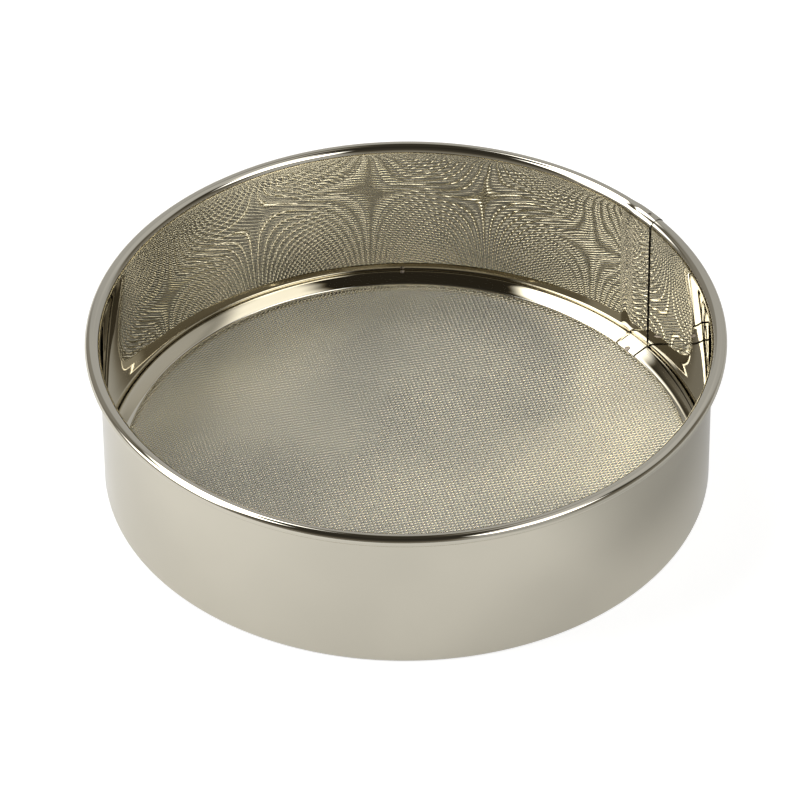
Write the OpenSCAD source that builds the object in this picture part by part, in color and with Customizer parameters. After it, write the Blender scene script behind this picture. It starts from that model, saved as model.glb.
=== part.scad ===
// Tamis drum sieve: a sheet steel drum with a wired rim, and a wire cloth held in its base
// by a clamp ring. Millimetres. The drum stands on z = 0, with its axis on the Z axis.

/* [Drum] */
// Diameter over the foot of the wall, outside
wall_d = 238; // [180:1:320]
// How much further out the wall stands at its top than at its foot
wall_flare = 0.4; // [0:0.1:1]
// Height from the base to the top of the rim
drum_h = 66; // [45:1:110]
// Thickness of the wall's sheet
sheet_t = 0.5; // [0.3:0.1:0.8]
// Bend radius between the wall and the base flange, at mid-sheet
base_bend_r = 1.2; // [0.8:0.1:2]
// Width of the base flange, from the wall's outside inwards
flange_w = 8.6; // [7:0.1:12]

/* [Rim] */
// How far the rim bead stands out from the foot of the wall's outside
rim_out = 6; // [4.6:0.1:7]
// Diameter of the rim's curl round the wire, outside
bead_d = 4.4; // [3.6:0.1:5.2]
// How much wider the rim's shoulder bends than the tightest bend that fits
shoulder_ease = 0.25; // [0.1:0.05:1]
// Free space round the wire in the bead
wire_gap = 0.1; // [0.05:0.05:0.2]
// Gap between the two ends of the rim wire
wire_end_gap = 0.6; // [0.2:0.1:2]

/* [Seam] */
// Direction of the seam, counted from +X towards +Y
seam_az = 35.2; // [0:0.1:90]
// Width of the lap where the wall's ends cross
lap_w = 10; // [6:0.5:16]
// Height of the step at the end of the rim bead's outer length
bead_step = 0.3; // [0.2:0.1:0.5]

/* [Wire cloth] */
// Diameter of a cloth wire
cloth_wire_d = 0.36; // [0.25:0.01:0.5]
// Number of wires each way that stand for the fine cloth
net_count = 17; // [9:2:17]
// Direction of the warp wires, counted from +X towards +Y
warp_az = 58.5; // [0:0.5:90]
// Free space between the cloth and what it touches
cloth_gap = 0.03; // [0.02:0.01:0.05]

/* [Clamp ring] */
// Thickness of the ring's strip
ring_t = 0.5; // [0.3:0.1:0.8]
// Width of the ring across its section
ring_w = 7; // [6:0.1:10]
// Height of the ring's section above the cloth
ring_h = 2.9; // [2.5:0.1:5]
// How far the ring's face falls from its crest to its lip
ring_fall = 1.5; // [0.8:0.1:1.6]
// Bend radius at the crest, at mid-strip
crest_r = 0.8; // [0.6:0.1:1.2]
// Free space between the ring and the wall
ring_gap = 0.2; // [0.1:0.05:0.3]
// Direction of the ring's upper end, counted from +X towards +Y
ring_end_az = 34.9; // [0:0.1:90]
// Length of the ring's lap along the ring
ring_lap = 10; // [6:0.5:16]

/* [Welds] */
// Number of tacks that hold the ring in the drum
tack_count = 3; // [2:1:6]
// Direction of the first tack, counted from +X towards +Y
tack_az = 90.6; // [60:0.1:120]
// Diameter of a tack
tack_d = 1.6; // [1:0.1:2]
// Height of a tack above the ring's crest
tack_h = 0.5; // [0.3:0.1:0.8]
// Diameter of the spot weld on the ring's lap
ring_spot_d = 2.4; // [1.5:0.1:2.6]
// Diameter of the spot weld on the rim joint
rim_spot_d = 1.2; // [0.8:0.1:1.6]
// Height of a spot weld above its sheet
spot_h = 0.15; // [0.1:0.05:0.3]

/* [Hidden] */
$fn = 96;

steel = [0.78, 0.76, 0.70];
wire_steel = [0.66, 0.64, 0.57];
weld_steel = [0.45, 0.43, 0.40];

// sheets that are fused share this much
fuse = 0.05;

wall_out_r = wall_d / 2;
wall_in_r = wall_out_r - sheet_t;
wall_mid_r = wall_out_r - sheet_t / 2;
flange_in_r = wall_out_r - flange_w;

rim_out_r = wall_out_r + rim_out;
bead_r = rim_out_r - bead_d / 2;
bead_mid = (bead_d - sheet_t) / 2;
wire_d = bead_d - 2 * sheet_t - 2 * wire_gap;

// the shoulder bends from the wall over the rim's top, and meets the tighter curl round the wire
shoulder_half = (bead_r - bead_mid - wall_mid_r - wall_flare) / 2;
shoulder_r = bead_mid + shoulder_half + shoulder_ease;
shoulder_rise = 2 * sqrt(shoulder_half * shoulder_ease);
shoulder_end = atan2(shoulder_rise, shoulder_half - shoulder_ease);
shoulder_at = [bead_r - shoulder_half + shoulder_ease, drum_h - sheet_t / 2 - shoulder_r];
bead_at = [bead_r, shoulder_at[1] + shoulder_rise];

// the wall leans out a little, and touches both the base bend and the shoulder
foot_at = [wall_mid_r - base_bend_r, sheet_t / 2 + base_bend_r];
wall_span = shoulder_at - foot_at;
wall_lean = atan2(wall_span[0], wall_span[1]) - asin((base_bend_r + shoulder_r) / norm(wall_span));
wall_foot = foot_at + base_bend_r * [cos(wall_lean), -sin(wall_lean)];

// the curl goes round the outside and under, and stops short of the wall
curl_end = -125;
curl_steps = 20;
shoulder_steps = 12;
bend_steps = 6;
// the bead's outer length covers the shoulder and the curl between these two angles
step_start = 165;
step_end = -100;

lap_a = lap_w / (2 * PI * wall_in_r) * 360;

warp_z = sheet_t + cloth_gap + cloth_wire_d / 2;
weft_z = warp_z + cloth_wire_d + cloth_gap;
cloth_top = weft_z + cloth_wire_d / 2;

ring_z = cloth_top + cloth_gap;
ring_out_r = wall_in_r - ring_gap;
ring_in_r = ring_out_r - ring_w;
ring_top = ring_z + ring_h;
ring_mid_r = ring_out_r - ring_t / 2;
ring_mid_top = ring_top - ring_t / 2;
lip_mid_r = ring_in_r + ring_t / 2;
lip_bend_r = 0.5;
lip_top = ring_mid_top - ring_fall;
ring_lap_a = ring_lap / (2 * PI * ring_mid_r) * 360;
// centres of the bends at the crest and the lip, and the slope of the face that touches both
crest_at = [ring_mid_r - crest_r, ring_mid_top - crest_r];
lip_at = [lip_mid_r + lip_bend_r, lip_top - lip_bend_r];
face_span = crest_at - lip_at;
face_a = atan2(face_span[1], face_span[0]) + asin((crest_r - lip_bend_r) / norm(face_span));
face_up = [-sin(face_a), cos(face_a)];
face_mid = (crest_at + crest_r * face_up + lip_at + lip_bend_r * face_up) / 2;

// the cloth ends where the base starts to bend up into the wall
cloth_r = wall_mid_r - base_bend_r;
// share of a pitch left free at both edges of the cloth
net_margin = 0.6;
net_pitch = 2 * cloth_r / (net_count + net_margin);
wire_sides = 24;

// the lap of the wall starts above the ring's own lap and the tacks
lap_z = ring_top + ring_t + tack_h;
// the ring's upper end covers its face between these two angles
lap_start = 80;
lap_end = 150;
lap_up = ring_t - fuse;

// width of a tack's top as a share of its foot
tack_taper = 0.6;
// where the rim's weld lies along the lap, as a share of the lap
rim_spot_at = 0.45;

// Points on an arc about c, from angle a0 to a1, without the first `skip` of them
function arc(c, r, a0, a1, steps, skip = 0) =
    [for (i = [skip : steps]) let (a = a0 + (a1 - a0) * i / steps) c + r * [cos(a), sin(a)]];

function reversed(line) = [for (i = [len(line) - 1 : -1 : 0]) line[i]];

// Section of a sheet between the line on its left side and the line on its right side
module sheet_section(left, right) {
    polygon(concat(left, reversed(right)));
}

// Line over the rim's shoulder and round its curl, off to the outside of mid-sheet
function rim_line(off, start, end) = concat(
    arc(shoulder_at, shoulder_r + off, start, shoulder_end, shoulder_steps),
    arc(bead_at, bead_mid + off, shoulder_end, end, curl_steps, 1)
);

// Line along the drum's sheet, from the flange's edge to the end of the curl,
// off to the left of mid-sheet
function drum_line(off) = concat(
    [[flange_in_r, sheet_t / 2 + off]],
    arc(foot_at, base_bend_r - off, -90, -wall_lean, bend_steps),
    rim_line(off, 180 - wall_lean, curl_end)
);

// Point on the wall at height z, off to the left of mid-sheet
function wall_point(z, off) =
    [wall_foot[0] + (z - wall_foot[1]) * tan(wall_lean) - off / cos(wall_lean), z];

// Line along the clamp ring's strip, from its outer foot over the crest to its lip,
// off to the left of mid-strip
function ring_line(off) = concat(
    [[ring_mid_r - off, ring_z]],
    arc(crest_at, crest_r - off, 0, 90 + face_a, bend_steps),
    arc(lip_at, lip_bend_r - off, 90 + face_a, 180, bend_steps),
    [[lip_mid_r + off, ring_z]]
);

// Line along the ring's upper end, which lies one strip above the ring's face
function ring_lap_line(off) = concat(
    arc(crest_at, crest_r + lap_up - off, lap_start, 90 + face_a, 2),
    arc(lip_at, lip_bend_r + lap_up - off, 90 + face_a, lap_end, bend_steps)
);

module drum_wall() {
    color(steel) union() {
        rotate_extrude() sheet_section(drum_line(sheet_t / 2), drum_line(-sheet_t / 2));
        // inner end of the wall, which lies on the outer end in the lap
        rotate([0, 0, seam_az]) rotate_extrude(angle = lap_a)
            sheet_section(
                [for (z = [lap_z, shoulder_at[1]]) wall_point(z, 1.5 * sheet_t)],
                [for (z = [lap_z, shoulder_at[1]]) wall_point(z, sheet_t / 2 - fuse)]);
        // outer length of the rim bead, which ends in a step over the other length
        rotate([0, 0, seam_az]) rotate_extrude(angle = lap_a)
            sheet_section(
                rim_line(sheet_t / 2 + bead_step, step_start, step_end),
                rim_line(sheet_t / 2 - fuse, step_start, step_end));
    }
}

module rim_wire() {
    gap_a = wire_end_gap / (2 * PI * bead_r) * 360;
    color(wire_steel) rotate([0, 0, seam_az]) rotate_extrude(angle = 360 - gap_a)
        translate(bead_at) circle(d = wire_d);
}

// Parallel straight wires that fill the cloth's disc at one height
module wire_layer(az, z) {
    for (i = [-(net_count - 1) / 2 : (net_count - 1) / 2]) {
        off = i * net_pitch;
        half = sqrt(cloth_r * cloth_r - off * off);
        rotate([0, 0, az]) translate([-half, off, z]) rotate([0, 90, 0])
            cylinder(d = cloth_wire_d, h = 2 * half, $fn = wire_sides);
    }
}

module warp_wires() {
    color(wire_steel) wire_layer(warp_az, warp_z);
}

module weft_wires() {
    color(wire_steel) wire_layer(warp_az + 90, weft_z);
}

module clamp_ring() {
    color(steel) union() {
        rotate_extrude() sheet_section(ring_line(ring_t / 2), ring_line(-ring_t / 2));
        // upper end of the strip, which lies on the lower end in the lap
        rotate([0, 0, ring_end_az]) rotate_extrude(angle = ring_lap_a)
            sheet_section(ring_lap_line(ring_t / 2), ring_lap_line(-ring_t / 2));
    }
}

// Short round welds on the ring's crest, beside the wall
module ring_tack_welds() {
    color(weld_steel) for (i = [0 : tack_count - 1])
        rotate([0, 0, tack_az + i * 360 / tack_count])
            translate([ring_mid_r - crest_r, 0, ring_top + cloth_gap])
                cylinder(d1 = tack_d, d2 = tack_d * tack_taper, h = tack_h);
}

// Spot weld on the middle of the ring's lap
module ring_lap_weld() {
    lift = lap_up + ring_t / 2 + cloth_gap;
    color(weld_steel) rotate([0, 0, ring_end_az + ring_lap_a / 2])
        translate([face_mid[0], 0, face_mid[1]]) rotate([0, -face_a, 0]) translate([0, 0, lift])
            cylinder(d = ring_spot_d, h = spot_h);
}

// Spot weld on top of the rim joint
module rim_joint_weld() {
    color(weld_steel) rotate([0, 0, seam_az + lap_a * rim_spot_at])
        translate([shoulder_at[0], 0, drum_h + bead_step + cloth_gap]) cylinder(d = rim_spot_d, h = spot_h);
}

drum_wall();
rim_wire();
warp_wires();
weft_wires();
clamp_ring();
ring_tack_welds();
ring_lap_weld();
rim_joint_weld();
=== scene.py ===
"""Looks of a round drum sieve: a polished sheet steel drum with a rolled rim, a woven wire cloth
and the ring that clamps the cloth. Lengths are in metres and angles in degrees, counted from +X
towards +Y. Every surface is a profile carried round the drum's axis or along a wire."""

import math

import bpy
import numpy as np
from mathutils import Matrix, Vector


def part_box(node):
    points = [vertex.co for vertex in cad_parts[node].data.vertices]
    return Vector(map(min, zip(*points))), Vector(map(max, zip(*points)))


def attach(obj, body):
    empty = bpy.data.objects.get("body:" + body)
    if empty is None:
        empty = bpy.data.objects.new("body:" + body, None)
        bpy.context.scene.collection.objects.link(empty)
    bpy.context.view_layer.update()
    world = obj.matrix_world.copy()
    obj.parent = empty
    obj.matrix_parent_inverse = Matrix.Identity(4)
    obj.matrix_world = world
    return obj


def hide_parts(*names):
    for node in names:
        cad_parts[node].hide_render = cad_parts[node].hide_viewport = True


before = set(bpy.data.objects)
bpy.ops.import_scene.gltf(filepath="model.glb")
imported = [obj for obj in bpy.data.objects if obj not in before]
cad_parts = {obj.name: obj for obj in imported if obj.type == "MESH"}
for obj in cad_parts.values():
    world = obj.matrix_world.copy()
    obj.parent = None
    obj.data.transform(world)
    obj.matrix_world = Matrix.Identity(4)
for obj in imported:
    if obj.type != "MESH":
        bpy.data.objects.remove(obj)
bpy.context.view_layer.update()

MM = 0.001

# drum sheet; its rim stays a hair inside the CAD model's box
drum_low, drum_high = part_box("drum_wall")
INSIDE_BOX = 0.01 * MM
RIM_R = min(drum_high.x - drum_low.x, drum_high.y - drum_low.y) / 2 - INSIDE_BOX
DRUM_H = 66 * MM
WALL_MID_R = 118.75 * MM
WALL_FLARE = 0.4 * MM
SHEET_T = 0.5 * MM
FLANGE_IN_R = 110.4 * MM
BASE_BEND_R = 1.2 * MM
BEAD_D = 4.4 * MM
SHOULDER_EASE = 0.25 * MM
CURL_END = -125
FLANGE_POINTS, BEND_POINTS, FOOT_POINTS = 3, 7, 5
WALL_POINTS, SHOULDER_POINTS, CURL_POINTS = 24, 25, 33
DRUM_STEPS = 480
BEAD_R = RIM_R - BEAD_D / 2
BEAD_MID = (BEAD_D - SHEET_T) / 2
SHOULDER_HALF = (BEAD_R - BEAD_MID - WALL_MID_R - WALL_FLARE) / 2
SHOULDER_R = BEAD_MID + SHOULDER_HALF + SHOULDER_EASE
SHOULDER_RISE = 2 * math.sqrt(SHOULDER_HALF * SHOULDER_EASE)
SHOULDER_END = math.degrees(math.atan2(SHOULDER_RISE, SHOULDER_HALF - SHOULDER_EASE))
SHOULDER_AT = np.array([BEAD_R - SHOULDER_HALF + SHOULDER_EASE, DRUM_H - SHEET_T / 2 - SHOULDER_R])
BEAD_AT = np.array([BEAD_R, SHOULDER_AT[1] + SHOULDER_RISE])

# seam: the lap's width, the angle over which it eases off, and the notch above the clamp ring
SEAM_AZ = 35.2
LAP_W = 10 * MM
LAP_EASE = 3.5
LAP_GAP = 0.04 * MM
LAP_LIFT = SHEET_T + LAP_GAP
LAP_STEPS, OUTER_END_STEPS = 30, 11
BEAD_STEP = 0.28 * MM
# CREVICE_W: width of the painted shade strip up the inside of the seam
CREVICE_W = 0.4 * MM
NOTCH_LOW, NOTCH_HIGH = 4.9 * MM, 5.6 * MM

# clamp ring
RING_T = 0.5 * MM
RING_W = 7 * MM
RING_H = 2.9 * MM
RING_FALL = 1.5 * MM
CREST_R = 0.8 * MM
LIP_BEND_R = 0.5 * MM
RING_OUT_R = 118.3 * MM
RING_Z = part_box("clamp_ring")[0].z
RING_STEPS = 480
RING_WAVE, RING_WAVES, RING_WAVE_START = 0.03 * MM, 11, 0.7
RING_END_AZ = 34.9
RING_LAP = 10 * MM
RING_EASE = 1.6
RING_LIFT = RING_T + LAP_GAP
RING_SINK = 0.1 * MM
RING_LAP_SECTIONS, RING_EASE_SECTIONS = 10, 14

# wire cloth; CRIMP and SWAY are shares of the wire's radius and of the pitch
CLOTH_R = 117.4 * MM
CLOTH_Z = (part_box("warp_wires")[0].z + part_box("weft_wires")[1].z) / 2
WIRE_D = 0.36 * MM
PITCH = 1.09 * MM
CRIMP, SWAY = 0.985, 0.02
WARP_AZ = 58.5
WIRE_SIDES = 6
CLOTH_PARTS = 6

# welds
TACK_AZ = 90.6
TACK_COUNT = 3
TACK_D, TACK_H, TACK_SUNK = 1.7 * MM, 0.5 * MM, 0.1 * MM
RING_SPOT_D, RIM_SPOT_D, SPOT_H, SPOT_SUNK = 2.4 * MM, 1.3 * MM, 0.14 * MM, 0.05 * MM
RIM_SPOT_SHARE = 0.45
NUGGET_SIDES, NUGGET_RINGS = 28, 9

# edges that bend by more degrees than this are sharp, on sheet and on wire
SHARP_SHEET, SHARP_WIRE = 38.0, 80

# photograph's camera: angle above the floor, distance in metres, focal length in pixels, the
# rim's centre right of and below the frame's centre, roll, and how far it sees in metres
VIEW_UP = 38.625
VIEW_DISTANCE = 3.0
FOCAL_PX = 7713.0
FRAME_PX = 800
SENSOR_W = 36
CENTRE_RIGHT_PX, CENTRE_DOWN_PX = 6.25, -66.9
VIEW_ROLL = -0.43
VIEW_END = 20

# tints of the metals
STEEL = (0.72, 0.68, 0.575)
WIRE_STEEL = (0.90, 0.86, 0.72)
EDGE_STEEL = (0.13, 0.12, 0.10)
CORE_STEEL = (0.50, 0.49, 0.46)
WELD_STEEL = (0.20, 0.175, 0.15)

# noise in the materials, as a scale per metre, and how deep their bumps are
DRIFT_SCALE, STREAK_SCALE, SMEAR_SCALE = 14.0, 240.0, 45.0
ZONE_SCALE, GRAIN_SCALE = 16.0, 2500.0
STREAK_DEPTH, GRAIN_DEPTH, GRAIN_STRENGTH = 0.02 * MM, 0.01 * MM, 0.2


def smooth_step(t):
    """0 below 0, 1 above 1, and 3t^2 - 2t^3 between."""
    t = np.clip(t, 0, 1)
    return t * t * (3 - 2 * t)


def arc(centre, radius, start, end, count, side):
    """Points centre + radius (cos a, sin a) for count angles from start to end, and the unit
    normals side (cos a, sin a)."""
    a = np.radians(np.linspace(start, end, count))
    out = np.stack([np.cos(a), np.sin(a)], 1)
    return np.asarray(centre) + radius * out, side * out


def straight(start, end, count, normal):
    """Evenly spaced points from start to end, all with one normal."""
    t = np.linspace(0, 1, count)[:, None]
    points = np.asarray(start) * (1 - t) + np.asarray(end) * t
    return points, np.tile(np.asarray(normal, float), (count, 1))


def joined(*pieces):
    """One line from several that follow on, without the points that two of them share."""
    points = [pieces[0][0]] + [p[0][1:] for p in pieces[1:]]
    normals = [pieces[0][1]] + [p[1][1:] for p in pieces[1:]]
    return np.concatenate(points), np.concatenate(normals)


def turned(line, azimuths):
    """A line of (radius, height) for each azimuth, or one line for all, as points (x, y, z)."""
    a = np.radians(azimuths)[:, None]
    r, z = line[..., 0], line[..., 1]
    z = np.broadcast_to(z, (len(azimuths), r.shape[-1]))
    return np.stack([r * np.cos(a), r * np.sin(a), z], -1)


def grid_quads(a, a2, b, b2, across):
    """The quads between rows a and a2 and columns b and b2 of a grid that is across points wide."""
    corners = a * across + b, a * across + b2, a2 * across + b2, a2 * across + b
    return np.stack(np.broadcast_arrays(*corners), -1).reshape(-1, 4)


def shell(left, right, closed):
    """A closed skin round a sheet. left and right are grids of points, one row for each section,
    on the two faces of the sheet. The rows join into a ring when closed, and otherwise the first
    and last section get a strip of quads as their cut edge. The last value says how many of the
    quads, at the end, are a cut edge."""
    rows, cols = left.shape[:2]
    points = np.concatenate([left, right[:, ::-1]], 1).reshape(-1, 3)
    around = 2 * cols
    a = np.arange(rows if closed else rows - 1)[:, None]
    b = np.arange(around)[None, :]
    quads = grid_quads(a, (a + 1) % rows, b, (b + 1) % around, around)
    if closed:
        return points, quads, 0
    i = np.arange(cols - 1)
    cut = np.stack([i, around - 1 - i, around - 2 - i, i + 1], -1)
    other_cut = (cut + (rows - 1) * around)[:, ::-1]
    return points, np.concatenate([quads, cut, other_cut]), 2 * len(cut)


def outward(points, quads):
    """The faces turned so that the signed volume, the sum of a . (b x c) over the faces'
    triangles, is positive."""
    a, b, c, d = (points[quads[:, k]] for k in range(4))
    volume = (a * np.cross(b, c)).sum() + (a * np.cross(c, d)).sum()
    return quads if volume > 0 else quads[:, ::-1]


def add_piece(name, shells, material, slot, *nodes, sharp=SHARP_SHEET):
    """One object from closed skins of quads, which rides on the root and stands for the nodes.
    A skin's last faces, as many as it counts as cut, get the material of a sheared edge."""
    points, quads, sheared, start = [], [], [], 0
    for p, q, cut in shells:
        points.append(p)
        quads.append(outward(p, q) + start)
        sheared.append(np.arange(len(q)) >= len(q) - cut)
        start += len(p)
    points, quads, sheared = np.concatenate(points), np.concatenate(quads), np.concatenate(sheared)
    mesh = bpy.data.meshes.new(name)
    mesh.vertices.add(len(points))
    mesh.vertices.foreach_set("co", points.ravel())
    mesh.loops.add(quads.size)
    mesh.loops.foreach_set("vertex_index", quads.ravel().astype(np.int32))
    mesh.polygons.add(len(quads))
    mesh.polygons.foreach_set("loop_start", np.arange(len(quads), dtype=np.int32) * 4)
    mesh.update(calc_edges=True)
    mesh.polygons.foreach_set("use_smooth", np.ones(len(quads), bool))
    mesh.set_sharp_from_angle(angle=math.radians(sharp))
    mesh.materials.append(material)
    if sheared.any():
        mesh.materials.append(edge_steel)
        mesh.polygons.foreach_set("material_index", sheared.astype(np.int32))
    piece = bpy.data.objects.new(name, mesh)
    bpy.context.scene.collection.objects.link(piece)
    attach(piece, "root")
    if nodes:
        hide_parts(*nodes)
    return piece


# materials


def add_node(tree, kind, values=(), **settings):
    """A node with its settings. values maps an input's name or number to a value or a socket."""
    made = tree.nodes.new(kind)
    for key, value in settings.items():
        setattr(made, key, value)
    for key, value in dict(values).items():
        if isinstance(value, bpy.types.NodeSocket):
            tree.links.new(value, made.inputs[key])
        else:
            made.inputs[key].default_value = value
    return made


def math_node(tree, operation, a, b=0.0, c=0.0):
    """What one operation makes of one, two or three values."""
    return add_node(tree, "ShaderNodeMath", {0: a, 1: b, 2: c}, operation=operation).outputs[0]


def colour(rgb, factor=1.0):
    """An opaque colour, made darker or lighter by a factor."""
    return tuple(channel * factor for channel in rgb) + (1.0,)


def round_place(tree):
    """The place on a round part: as it is, as length round the axis, radius and height in one
    vector, and these three by themselves."""
    place = add_node(tree, "ShaderNodeTexCoord").outputs["Object"]
    x, y, z = add_node(tree, "ShaderNodeSeparateXYZ", {0: place}).outputs
    angle = math_node(tree, "ARCTAN2", y, x)
    length = math_node(tree, "MULTIPLY", angle, WALL_MID_R)
    squares = math_node(tree, "MULTIPLY", x, x), math_node(tree, "MULTIPLY", y, y)
    radius = math_node(tree, "SQRT", math_node(tree, "ADD", *squares))
    both = add_node(tree, "ShaderNodeCombineXYZ", {0: length, 1: radius, 2: z}).outputs[0]
    return place, both, length, radius, z


def noise(tree, place, scale, detail=2.0, stretch=(1, 1, 1)):
    """Noise of a given scale per metre, on a place that is stretched along its axes."""
    mapped = add_node(tree, "ShaderNodeMapping", {"Vector": place, "Scale": stretch}).outputs[0]
    values = {"Vector": mapped, "Scale": scale, "Detail": detail}
    return add_node(tree, "ShaderNodeTexNoise", values).outputs["Fac"]


def ranged(tree, value, from_low, from_high, low, high):
    """From low to high while the value goes from from_low to from_high, by a smooth step."""
    return add_node(tree, "ShaderNodeMapRange",
                    {0: value, 1: from_low, 2: from_high, 3: low, 4: high},
                    interpolation_type="SMOOTHSTEP").outputs[0]


def mixed(tree, share, first, second):
    """Two colours mixed by a share of the second."""
    return add_node(tree, "ShaderNodeMix", {0: share, 6: first, 7: second},
                    data_type="RGBA").outputs[2]


def new_metal(name):
    """A material that is metal all over, with its node tree and its shader."""
    material = bpy.data.materials.new(name)
    material.use_nodes = True
    shader = material.node_tree.nodes["Principled BSDF"]
    shader.inputs["Metallic"].default_value = 1.0
    return material, material.node_tree, shader


def finish_metal(tree, shader, tone, roughness, strength, depth, bumps):
    """The tone, the roughness and the bumps of a metal, led to its shader."""
    tree.links.new(tone, shader.inputs["Base Color"])
    tree.links.new(roughness, shader.inputs["Roughness"])
    bump = add_node(tree, "ShaderNodeBump",
                    {"Strength": strength, "Distance": depth, "Height": bumps})
    tree.links.new(bump.outputs[0], shader.inputs["Normal"])


def polished_steel(name, tint, rough, streak, bump, wear_z=0.0, wear=0.0, seam=False):
    """Polished sheet: a tint that drifts a little, faint polishing streaks that run round the
    drum, a rougher zone below wear_z where the sheet rubs on the table, and with a seam a painted
    shade: a dark strip in the tone up the inside of the wall against the lap's edge, where the
    crevice lies in shade."""
    material, tree, shader = new_metal(name)
    place, around, length, radius, z = round_place(tree)
    drift = noise(tree, place, DRIFT_SCALE)
    streaks = noise(tree, around, STREAK_SCALE, 3.0, (0.06, 1, 6))
    tone = mixed(tree, ranged(tree, drift, 0.3, 0.7, 0, 1), colour(tint, 0.96), colour(tint, 1.03))
    smear = noise(tree, place, SMEAR_SCALE, 4.0)
    roughness = math_node(tree, "ADD", ranged(tree, smear, 0.35, 0.75, rough, rough * 1.8),
                          math_node(tree, "MULTIPLY", streaks, streak))
    if wear:
        rubbed = ranged(tree, z, 0.0, wear_z, wear, 0.0)
        roughness = math_node(tree, "ADD", roughness, rubbed)
    # painted shade: with a seam, a dark strip about CREVICE_W wide is mixed into the tone up the
    # inside of the wall above the notch, where the lap's crevice lies in shade
    if seam:
        seam_at = math.radians(SEAM_AZ) * WALL_MID_R
        aside = math_node(tree, "SUBTRACT", length, seam_at - CREVICE_W / 2)
        crevice = ranged(tree, math_node(tree, "ABSOLUTE", aside),
                         CREVICE_W * 0.4, CREVICE_W * 0.7, 1.0, 0.0)
        inside = math_node(tree, "LESS_THAN", radius, WALL_MID_R + WALL_FLARE / 2)
        above = math_node(tree, "GREATER_THAN", z, NOTCH_HIGH)
        painted_crevice_shade = math_node(tree, "MULTIPLY", crevice, math_node(tree, "MULTIPLY", inside, above))
        # painted crevice shade: the strip's tone goes to half the sheared edge's dark tone
        tone = mixed(tree, painted_crevice_shade, tone, colour(EDGE_STEEL, 0.5))
        roughness = math_node(tree, "ADD", roughness, math_node(tree, "MULTIPLY", painted_crevice_shade, 0.4))
    finish_metal(tree, shader, tone, roughness, bump, STREAK_DEPTH, streaks)
    return material


def drawn_wire(name, tint, rough):
    """Bright drawn wire: broad paler and darker zones over the cloth, and a fine grain."""
    material, tree, shader = new_metal(name)
    place = add_node(tree, "ShaderNodeTexCoord").outputs["Object"]
    zones = noise(tree, place, ZONE_SCALE, 1.0)
    grain = noise(tree, place, GRAIN_SCALE, 1.0)
    tone = mixed(tree, ranged(tree, zones, 0.3, 0.7, 0, 1), colour(tint, 0.9), colour(tint, 1.06))
    roughness = ranged(tree, grain, 0.3, 0.7, rough * 0.8, rough * 1.25)
    finish_metal(tree, shader, tone, roughness, GRAIN_STRENGTH, GRAIN_DEPTH, grain)
    return material


# the drum sheet's material carries the painted crevice shade up the inside of the seam
sheet_steel = polished_steel("polished_sheet", STEEL, 0.010, 0.004, 0.008, 3 * MM, 0.12, True)
ring_steel = polished_steel("ring_strip", STEEL, 0.012, 0.01, 0.02)
edge_steel = drawn_wire("sheared_edge", EDGE_STEEL, 0.45)
wire_steel = drawn_wire("cloth_wire", WIRE_STEEL, 0.18)
core_steel = drawn_wire("core_wire", CORE_STEEL, 0.35)
weld_steel = drawn_wire("weld_metal", WELD_STEEL, 0.3)


# drum


def drum_line():
    """Middle of the drum's sheet in (radius, height), from the flange's edge through the base
    bend, up the wall, which leans out a little, over the shoulder and round the curl, with
    normals on its left. The wall touches the circles of the base bend and of the shoulder."""
    foot = np.array([WALL_MID_R - BASE_BEND_R, SHEET_T / 2 + BASE_BEND_R])
    span = SHOULDER_AT - foot
    lean = math.atan2(span[0], span[1]) - math.asin((BASE_BEND_R + SHOULDER_R) / np.hypot(*span))
    inward = np.array([-math.cos(lean), math.sin(lean)])
    low, high = foot - BASE_BEND_R * inward, SHOULDER_AT + SHOULDER_R * inward
    middle = low + (high - low) * (2 * NOTCH_HIGH - low[1]) / (high[1] - low[1])
    lean = math.degrees(lean)
    return joined(
        straight((FLANGE_IN_R, SHEET_T / 2), (foot[0], SHEET_T / 2), FLANGE_POINTS, (0, 1)),
        arc(foot, BASE_BEND_R, -90, -lean, BEND_POINTS, -1),
        straight(low, middle, FOOT_POINTS, inward),
        straight(middle, high, WALL_POINTS, inward),
        arc(SHOULDER_AT, SHOULDER_R, 180 - lean, SHOULDER_END, SHOULDER_POINTS, 1),
        arc(BEAD_AT, BEAD_MID, SHOULDER_END, CURL_END, CURL_POINTS, 1),
    )


def wall_ripple(azimuths, z):
    """Small waves of the sheet, in and out: three long sine waves in azimuth and height over the
    whole wall and two short ones near the seam, all fading out at the base and at the neck."""
    a, h = np.radians(azimuths)[:, None], z[None, :] / DRUM_H
    waves = (0.030 * np.sin(9 * a + 2.2 * h) + 0.022 * np.sin(14 * a - 4.1 * h + 1.3)
             + 0.012 * np.sin(23 * a + 6.4 * h + 0.4))
    near = np.exp(-(((azimuths - SEAM_AZ - 4) / 7.0) ** 2))[:, None]
    waves = waves + near * (0.010 * np.sin(70 * a + 9 * h) + 0.008 * np.sin(51 * a - 14 * h))
    fade = smooth_step((h - 0.10) / 0.12) * smooth_step((0.90 - h) / 0.10)
    return MM * waves * fade


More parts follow.
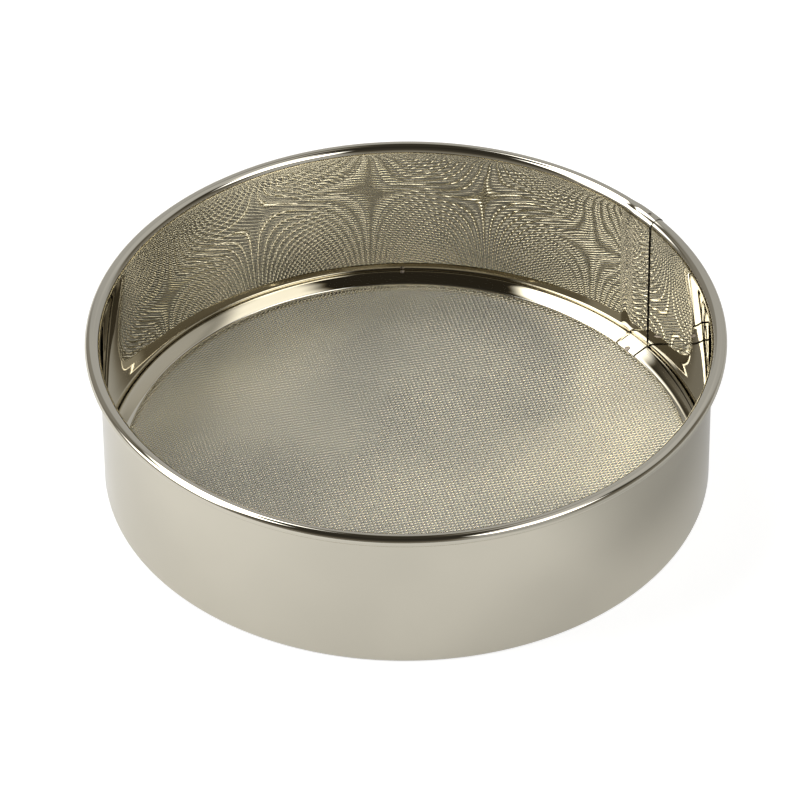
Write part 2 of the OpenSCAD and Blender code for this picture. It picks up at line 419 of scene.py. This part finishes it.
def drum_sheet():
    """The drum's sheet, in two closed skins. The first goes once round from the seam: its start
    lies inside the end by one sheet, above a notch that keeps clear of the clamp ring, and eases
    back to the wall past the lap. The second is the outer end that goes on behind the lap."""
    middle, normal = drum_line()
    z = middle[:, 1]
    lap_a = math.degrees(LAP_W / WALL_MID_R)
    past = np.unique(np.concatenate([np.linspace(0, 360, DRUM_STEPS + 1),
                                     np.linspace(0, lap_a + LAP_EASE, LAP_STEPS + 1)]))
    seam = 1 - smooth_step((past - lap_a) / LAP_EASE)
    rim_start = len(z) - CURL_POINTS - SHOULDER_POINTS + 2
    lift = lap_lift(z, rim_start)
    offset = seam[:, None] * lift[None, :] + wall_ripple(past + SEAM_AZ, z)
    offset[-1] = wall_ripple(np.array([SEAM_AZ + 360]), z)[0]
    faces = [turned(middle[None] + normal[None] * (offset + away)[..., None], past + SEAM_AZ)
             for away in (SHEET_T / 2, -SHEET_T / 2)]
    once_round = shell(*faces, False)

    keep = (z > NOTCH_HIGH) & (np.arange(len(z)) <= rim_start)
    behind = np.linspace(360, 360 + lap_a, OUTER_END_STEPS + 1) + SEAM_AZ
    ripple = wall_ripple(behind, z[keep])
    faces = [turned(middle[keep][None] + normal[keep][None] * (ripple + away)[..., None], behind)
             for away in (SHEET_T / 2, -SHEET_T / 2)]
    return [once_round, shell(*faces, False)]


def lap_lift(z, rim_start):
    """How far the sheet's inner end lies off in the lap, along the sheet: none at the base, a
    full sheet on the wall above the notch, and the bead's small step past the shoulder."""
    count = np.arange(len(z))
    wall = LAP_LIFT * smooth_step((z - NOTCH_LOW) / (NOTCH_HIGH - NOTCH_LOW))
    share = smooth_step((count - rim_start) / (SHOULDER_POINTS / 2))
    return np.where(count < rim_start, wall, LAP_LIFT + (BEAD_STEP - LAP_LIFT) * share)


# clamp ring


def ring_line():
    """Middle of the ring's strip in (radius, height), from its outer foot over the crest and down
    the sloping face to the lip, with normals on its upper side."""
    mid_r, top = RING_OUT_R - RING_T / 2, RING_Z + RING_H - RING_T / 2
    lip_r = RING_OUT_R - RING_W + RING_T / 2
    crest = np.array([mid_r - CREST_R, top - CREST_R])
    lip = np.array([lip_r + LIP_BEND_R, top - RING_FALL - LIP_BEND_R])
    span = crest - lip
    face_a = math.degrees(math.atan2(span[1], span[0])
                          + math.asin((CREST_R - LIP_BEND_R) / np.hypot(*span)))
    slope = np.radians(90 + face_a)
    up = np.array([math.cos(slope), math.sin(slope)])
    return joined(
        straight((mid_r, RING_Z), (mid_r, crest[1]), 2, (1, 0)),
        arc(crest, CREST_R, 0, 90 + face_a, 11, 1),
        straight(crest + CREST_R * up, lip + LIP_BEND_R * up, 4, up),
        arc(lip, LIP_BEND_R, 90 + face_a, 180, 9, 1),
        straight((lip_r, lip[1]), (lip_r, RING_Z), 2, (-1, 0)),
    )


def ring_strip():
    """The ring, in two closed skins: the strip once round, with low sine waves, and its upper
    end, which lies one strip above the face over the lap and then sinks into it at a crease. The
    upper end has the line's points between the third from each foot."""
    middle, normal = ring_line()
    azimuths = np.linspace(0, 360, RING_STEPS + 1)[:-1]
    waves = RING_WAVE * np.sin(np.radians(azimuths) * RING_WAVES + RING_WAVE_START)[:, None, None]
    faces = [turned(middle[None] + normal[None] * (away + waves), azimuths)
             for away in (RING_T / 2, -RING_T / 2)]
    lap_a = math.degrees(RING_LAP / RING_OUT_R)
    over = np.concatenate([np.linspace(0, lap_a, RING_LAP_SECTIONS),
                           lap_a + np.linspace(0.1, RING_EASE, RING_EASE_SECTIONS)])
    lift = RING_LIFT - (RING_LIFT + RING_SINK) * smooth_step((over - lap_a) / RING_EASE)
    top = slice(3, -3)
    ends = [turned(middle[top][None] + normal[top][None] * (away + lift[:, None, None]),
                   over + RING_END_AZ)
            for away in (RING_T / 2, -RING_T / 2)]
    return [shell(*faces, True), shell(*ends, False)], middle, normal


# wire cloth


def woven_wires(azimuth, over_first, first_part, last_part):
    """Wires of one direction of a plain weave. Wire i lies i pitches to the side and crosses the
    others every pitch, where its height goes up and down by half a wire's diameter in turn, as
    the cosine of half a turn a pitch. A ring of sides lies at each crossing and halfway between
    two, so that the smooth shading follows the crimp, and rings that follow on are joined by
    quads. The wires sway a little to the side, by a slow sine. The wires between two shares of
    the cloth's width make one piece."""
    count = int(CLOTH_R / PITCH)
    i = np.arange(-count, count + 1)
    i = i[int(len(i) * first_part):int(len(i) * last_part)]
    side = i * PITCH
    half = np.sqrt(CLOTH_R ** 2 - side ** 2)
    reach = np.floor(half / PITCH).astype(int)
    rings = 4 * reach + 1
    wire = np.repeat(np.arange(len(i)), rings)
    first = np.concatenate([[0], np.cumsum(rings)[:-1]])
    j = (np.arange(rings.sum()) - first[wire]) / 2 - reach[wire]
    up = np.cos(np.pi * (i[wire] + j + over_first))
    along = j * PITCH
    height = CLOTH_Z + up * (WIRE_D / 2) * CRIMP
    a = np.radians(azimuth)
    uneven = 1 + 0.10 * np.sin(i[wire] * 1.7 + j * 0.9)
    sway = SWAY * PITCH * np.sin(i[wire] * 2.3 + j * 0.37) * uneven
    turn = np.radians(360 / WIRE_SIDES * (np.arange(WIRE_SIDES) + 0.5))
    across = side[wire][:, None] + sway[:, None] + WIRE_D / 2 * np.cos(turn)[None, :]
    tall = height[:, None] + WIRE_D / 2 * np.sin(turn)[None, :]
    long = np.broadcast_to(along[:, None], across.shape)
    points = np.stack([long * np.cos(a) - across * np.sin(a),
                       long * np.sin(a) + across * np.cos(a), tall], -1)
    k = np.arange(len(wire))
    last = first + rings - 1
    joins = np.setdiff1d(k, last)[:, None] * WIRE_SIDES
    s = np.arange(WIRE_SIDES)[None, :]
    s2 = (s + 1) % WIRE_SIDES
    beyond = joins + WIRE_SIDES
    quads = np.stack([joins + s, joins + s2, beyond + s2, beyond + s], -1).reshape(-1, 4)
    start_cap, end_cap = first * WIRE_SIDES, last * WIRE_SIDES
    caps = [np.stack([start_cap + 3, start_cap + 2, start_cap + 1, start_cap], -1),
            np.stack([start_cap + 5, start_cap + 4, start_cap + 3, start_cap], -1),
            np.stack([end_cap, end_cap + 1, end_cap + 2, end_cap + 3], -1),
            np.stack([end_cap, end_cap + 3, end_cap + 4, end_cap + 5], -1)]
    return points.reshape(-1, 3), np.concatenate([quads] + caps), 0


# welds


def nugget(centre, normal, radius, height, sunk, seed):
    """A closed low dome: height times (1 - s^2) to the power 0.6 over rings s from 0 to 1, with a
    wavy rim, on a flat foot sunk into the sheet."""
    normal = np.asarray(normal, float) / np.linalg.norm(normal)
    side = np.cross(normal, (0.3, 0.2, 1.0))
    side /= np.linalg.norm(side)
    other = np.cross(normal, side)
    turn = np.linspace(0, 2 * np.pi, NUGGET_SIDES + 1)[:-1]
    wavy = 1 + 0.07 * np.sin(3 * turn + seed) + 0.04 * np.sin(5 * turn + 2 * seed)
    share = np.sin(np.linspace(0.04, np.pi / 2, NUGGET_RINGS))[:, None]
    top = height * (1 - share ** 2) ** 0.6 * (1 + 0.1 * np.sin(9 * share + seed))
    flat = (share * radius * wavy)[..., None]
    around = np.cos(turn)[None, :, None] * side + np.sin(turn)[None, :, None] * other
    upper = centre + flat * around + top[..., None] * normal
    lower = centre + flat * around - sunk * normal
    rows = np.concatenate([upper, lower[::-1]])
    n, m = rows.shape[:2]
    a, b = np.arange(n)[:, None], np.arange(m)[None, :]
    return rows.reshape(-1, 3), grid_quads(a, (a + 1) % n, b, (b + 1) % m, m), 0


def on_round(out, up, azimuth):
    """A place or a direction that goes out from the axis at an azimuth, and up."""
    a = math.radians(azimuth)
    return np.array([out * math.cos(a), out * math.sin(a), up])


add_piece("drum_sheet", drum_sheet(), sheet_steel, "polished_steel", "drum_wall")
ring_skins, ring_mid, ring_normal = ring_strip()
add_piece("clamp_ring_strip", ring_skins, ring_steel, "ring_steel", "clamp_ring")
for part in range(CLOTH_PARTS):
    shares = part / CLOTH_PARTS, (part + 1) / CLOTH_PARTS
    add_piece(f"warp_strands_{part + 1}", [woven_wires(WARP_AZ, 0, *shares)],
              wire_steel, "cloth_wire", *(["warp_wires"] if part == 0 else []), sharp=SHARP_WIRE)
    add_piece(f"weft_strands_{part + 1}", [woven_wires(WARP_AZ + 90, 1, *shares)],
              wire_steel, "cloth_wire", *(["weft_wires"] if part == 0 else []), sharp=SHARP_WIRE)

crest_r = RING_OUT_R - RING_T / 2 - CREST_R
tacks = [nugget(on_round(crest_r, RING_Z + RING_H, TACK_AZ + 360 / TACK_COUNT * k), (0, 0, 1),
                TACK_D / 2, TACK_H, TACK_SUNK, k) for k in range(TACK_COUNT)]
add_piece("ring_tacks", tacks, weld_steel, "weld_steel", "ring_tack_welds")
face = len(ring_mid) // 2 + 2
spot_az = RING_END_AZ + math.degrees(RING_LAP / RING_OUT_R) / 2
spot_at = ring_mid[face] + ring_normal[face] * (RING_LIFT + RING_T / 2)
ring_spot = nugget(on_round(*spot_at, spot_az), on_round(*ring_normal[face], spot_az),
                   RING_SPOT_D / 2, SPOT_H, SPOT_SUNK, 1.0)
add_piece("ring_lap_spot", [ring_spot], weld_steel, "weld_steel", "ring_lap_weld")
rim_spot_az = SEAM_AZ + RIM_SPOT_SHARE * math.degrees(LAP_W / WALL_MID_R)
rim_spot = nugget(on_round(SHOULDER_AT[0], DRUM_H + BEAD_STEP, rim_spot_az), (0, 0, 1),
                  RIM_SPOT_D / 2, SPOT_H, SPOT_SUNK, 2.0)
add_piece("rim_joint_spot", [rim_spot], weld_steel, "weld_steel", "rim_joint_weld")
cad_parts["rim_wire"].data.materials.clear()
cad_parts["rim_wire"].data.materials.append(core_steel)


# studio


def round_the_sky(tree):
    """The direction of a ray as azimuth and height above the horizon, in degrees."""
    sky = add_node(tree, "ShaderNodeTexCoord").outputs["Generated"]
    x, y, z = add_node(tree, "ShaderNodeSeparateXYZ", {0: sky}).outputs
    azimuth = math_node(tree, "DEGREES", math_node(tree, "ARCTAN2", y, x))
    height = math_node(tree, "DEGREES", math_node(tree, "ARCSINE", z))
    return azimuth, height


def between(tree, value, low, high, edge):
    """1 from low to high, fading to 0 over an edge on both sides."""
    return math_node(tree, "MULTIPLY", ranged(tree, value, low - edge, low + edge, 0.0, 1.0),
                     ranged(tree, value, high - edge, high + edge, 1.0, 0.0))


def blended(tree, share, first, second):
    """Two numbers mixed by a share of the second."""
    return add_node(tree, "ShaderNodeMix", {0: share, 2: first, 3: second},
                    data_type="FLOAT").outputs[0]


def hang_panel(tree, sky, level, middle, half, edge, low, high, height_edge, strength):
    """The sky's level with one panel hung in it: it spans half degrees on both sides of the middle
    azimuth and from the low to the high height, with soft edges, and covers what is behind it."""
    azimuth, height = sky
    turn = math_node(tree, "WRAP", math_node(tree, "SUBTRACT", azimuth, middle), 180.0, -180.0)
    aside = math_node(tree, "ABSOLUTE", turn)
    share = math_node(tree, "MULTIPLY", ranged(tree, aside, half - edge, half + edge, 1.0, 0.0),
                      between(tree, height, low, high, height_edge))
    return blended(tree, share, level, strength)


# Studio panels round the object: middle azimuth, half width, edge, lowest and highest height, edge,
# level of light
PANELS = {
    "front_dark": (-90, 70, 15, 62, 82, 6, 0.03),
    "back_wall": (80, 45, 10, 2, 50, 8, 0.47),
    "right_wall": (45, 33, 9, 38, 72, 6, 0.55),
    "dim_corner": (133, 17, 6, 15, 46, 6, 0.27),
    "low_reflector": (-52, 18, 8, 4, 34, 6, 0.48),
    "top_softbox": (-12, 22, 8, 58, 73, 4, 1.8),
    "high_softbox": (154, 48, 7, 51, 67, 2, 4.5),
    "left_softbox": (-178, 21, 6, 21, 62, 6, 4.3),
    "right_softbox": (-37, 24, 6, 41, 61, 3, 4.3),
}
# The room behind them: its level and how much is added at the horizon, over a range of heights,
# and its tint, which fades to white over a range of levels
SKY_DARK, HORIZON_GLOW, HORIZON_FADE = 0.045, 0.20, (5.0, 45.0)
DARK_TINT, TINT_FADE = (1.0, 0.90, 0.71), (0.05, 0.45)
# The floor: its size and tone, its own light for the camera, and for mirrored rays as a fall over
# two ranges of x, from the first level to the second
FLOOR_HALF, FLOOR_DROP = 4.0, 0.05 * MM
FLOOR_TONE, FLOOR_ROUGH, FLOOR_SPECULAR = (0.42, 0.42, 0.415), 0.9, 0.1
FLOOR_GLOW = 0.8
LEFT_TO_MIDDLE = (-150 * MM, 0.0, 0.46, 0.36)
MIDDLE_TO_RIGHT = (90 * MM, 160 * MM, 0.0, 0.24)
GLOW_EDGE = 2 * MM


def add_world():
    """A sky that the camera sees as white. Every other ray sees a dim warm room, a little paler at
    the horizon, with the studio's panels hung in it."""
    world = bpy.data.worlds.new("studio")
    bpy.context.scene.world = world
    world.use_nodes = True
    tree = world.node_tree
    background = tree.nodes["Background"]
    sky = round_the_sky(tree)
    level = ranged(tree, sky[1], *HORIZON_FADE, SKY_DARK + HORIZON_GLOW, SKY_DARK)
    for panel in PANELS.values():
        level = hang_panel(tree, sky, level, *panel)
    seen = add_node(tree, "ShaderNodeLightPath").outputs["Is Camera Ray"]
    level = blended(tree, seen, level, 1.0)
    tint = mixed(tree, ranged(tree, level, *TINT_FADE, 0.0, 1.0), colour(DARK_TINT), (1, 1, 1, 1))
    tree.links.new(level, background.inputs["Strength"])
    tree.links.new(tint, background.inputs["Color"])


def add_floor():
    """A plain pale floor. Rays from the camera, and rays that metal mirrors, see a light of its
    own added outside the drum: so that it is white away from the object and keeps the object's
    shadow, and the metal shows it paler at the left than at the right, as the studio's light
    falls."""
    corners = [(x * FLOOR_HALF, y * FLOOR_HALF, -FLOOR_DROP)
               for x, y in ((-1, -1), (1, -1), (1, 1), (-1, 1))]
    mesh = bpy.data.meshes.new("floor")
    mesh.from_pydata(corners, [], [(0, 1, 2, 3)])
    floor = bpy.data.objects.new("floor", mesh)
    bpy.context.scene.collection.objects.link(floor)
    material = bpy.data.materials.new("pale_floor")
    material.use_nodes = True
    tree = material.node_tree
    shader = tree.nodes["Principled BSDF"]
    shader.inputs["Base Color"].default_value = colour(FLOOR_TONE)
    shader.inputs["Roughness"].default_value = FLOOR_ROUGH
    shader.inputs["Specular IOR Level"].default_value = FLOOR_SPECULAR
    place = add_node(tree, "ShaderNodeTexCoord").outputs["Object"]
    x = add_node(tree, "ShaderNodeSeparateXYZ", {0: place}).outputs[0]
    away = add_node(tree, "ShaderNodeVectorMath", {0: place}, operation="LENGTH").outputs["Value"]
    outside = ranged(tree, away, WALL_MID_R - GLOW_EDGE, WALL_MID_R, 0.0, 1.0)
    path = add_node(tree, "ShaderNodeLightPath").outputs
    mirrored = math_node(tree, "MAXIMUM", path["Is Glossy Ray"], path["Is Transmission Ray"])
    fall = math_node(tree, "SUBTRACT", ranged(tree, x, *LEFT_TO_MIDDLE),
                     ranged(tree, x, *MIDDLE_TO_RIGHT))
    glow = math_node(tree, "ADD", math_node(tree, "MULTIPLY", path["Is Camera Ray"], FLOOR_GLOW),
                     math_node(tree, "MULTIPLY", mirrored, fall))
    shader.inputs["Emission Color"].default_value = (1, 1, 1, 1)
    tree.links.new(math_node(tree, "MULTIPLY", outside, glow), shader.inputs["Emission Strength"])
    mesh.materials.append(material)


def swung(first, second, angle):
    """Two directions at right angles, both turned by an angle from the first to the second."""
    return (first * math.cos(angle) + second * math.sin(angle),
            second * math.cos(angle) - first * math.sin(angle))


def add_camera():
    """The photograph's camera. It looks at the centre of the rim's top plane from the front, is
    then turned so that this point lands off the frame's centre, and rolled a little."""
    up_a = math.radians(VIEW_UP)
    place = np.array([0, -VIEW_DISTANCE * math.cos(up_a), VIEW_DISTANCE * math.sin(up_a)])
    ahead = -place / np.linalg.norm(place)
    right = np.array([1.0, 0, 0])
    up = np.cross(right, ahead)
    pan, tilt = math.atan2(CENTRE_RIGHT_PX, FOCAL_PX), math.atan2(CENTRE_DOWN_PX, FOCAL_PX)
    ahead, right = swung(ahead, right, -pan)
    ahead, up = swung(ahead, up, tilt)
    right, up = swung(right, up, math.radians(VIEW_ROLL))
    data = bpy.data.cameras.new("photo_camera")
    data.sensor_width = SENSOR_W
    data.lens = FOCAL_PX / FRAME_PX * SENSOR_W
    data.clip_end = VIEW_END
    camera = bpy.data.objects.new("photo_camera", data)
    bpy.context.scene.collection.objects.link(camera)
    turn = np.eye(4)
    turn[:3, 0], turn[:3, 1], turn[:3, 2] = right, up, -ahead
    turn[:3, 3] = place + np.array([0, 0, DRUM_H])
    camera.matrix_world = Matrix(turn.tolist())
    bpy.context.scene.camera = camera


add_world()
add_floor()
add_camera()
bpy.context.scene.view_settings.view_transform = "Standard"
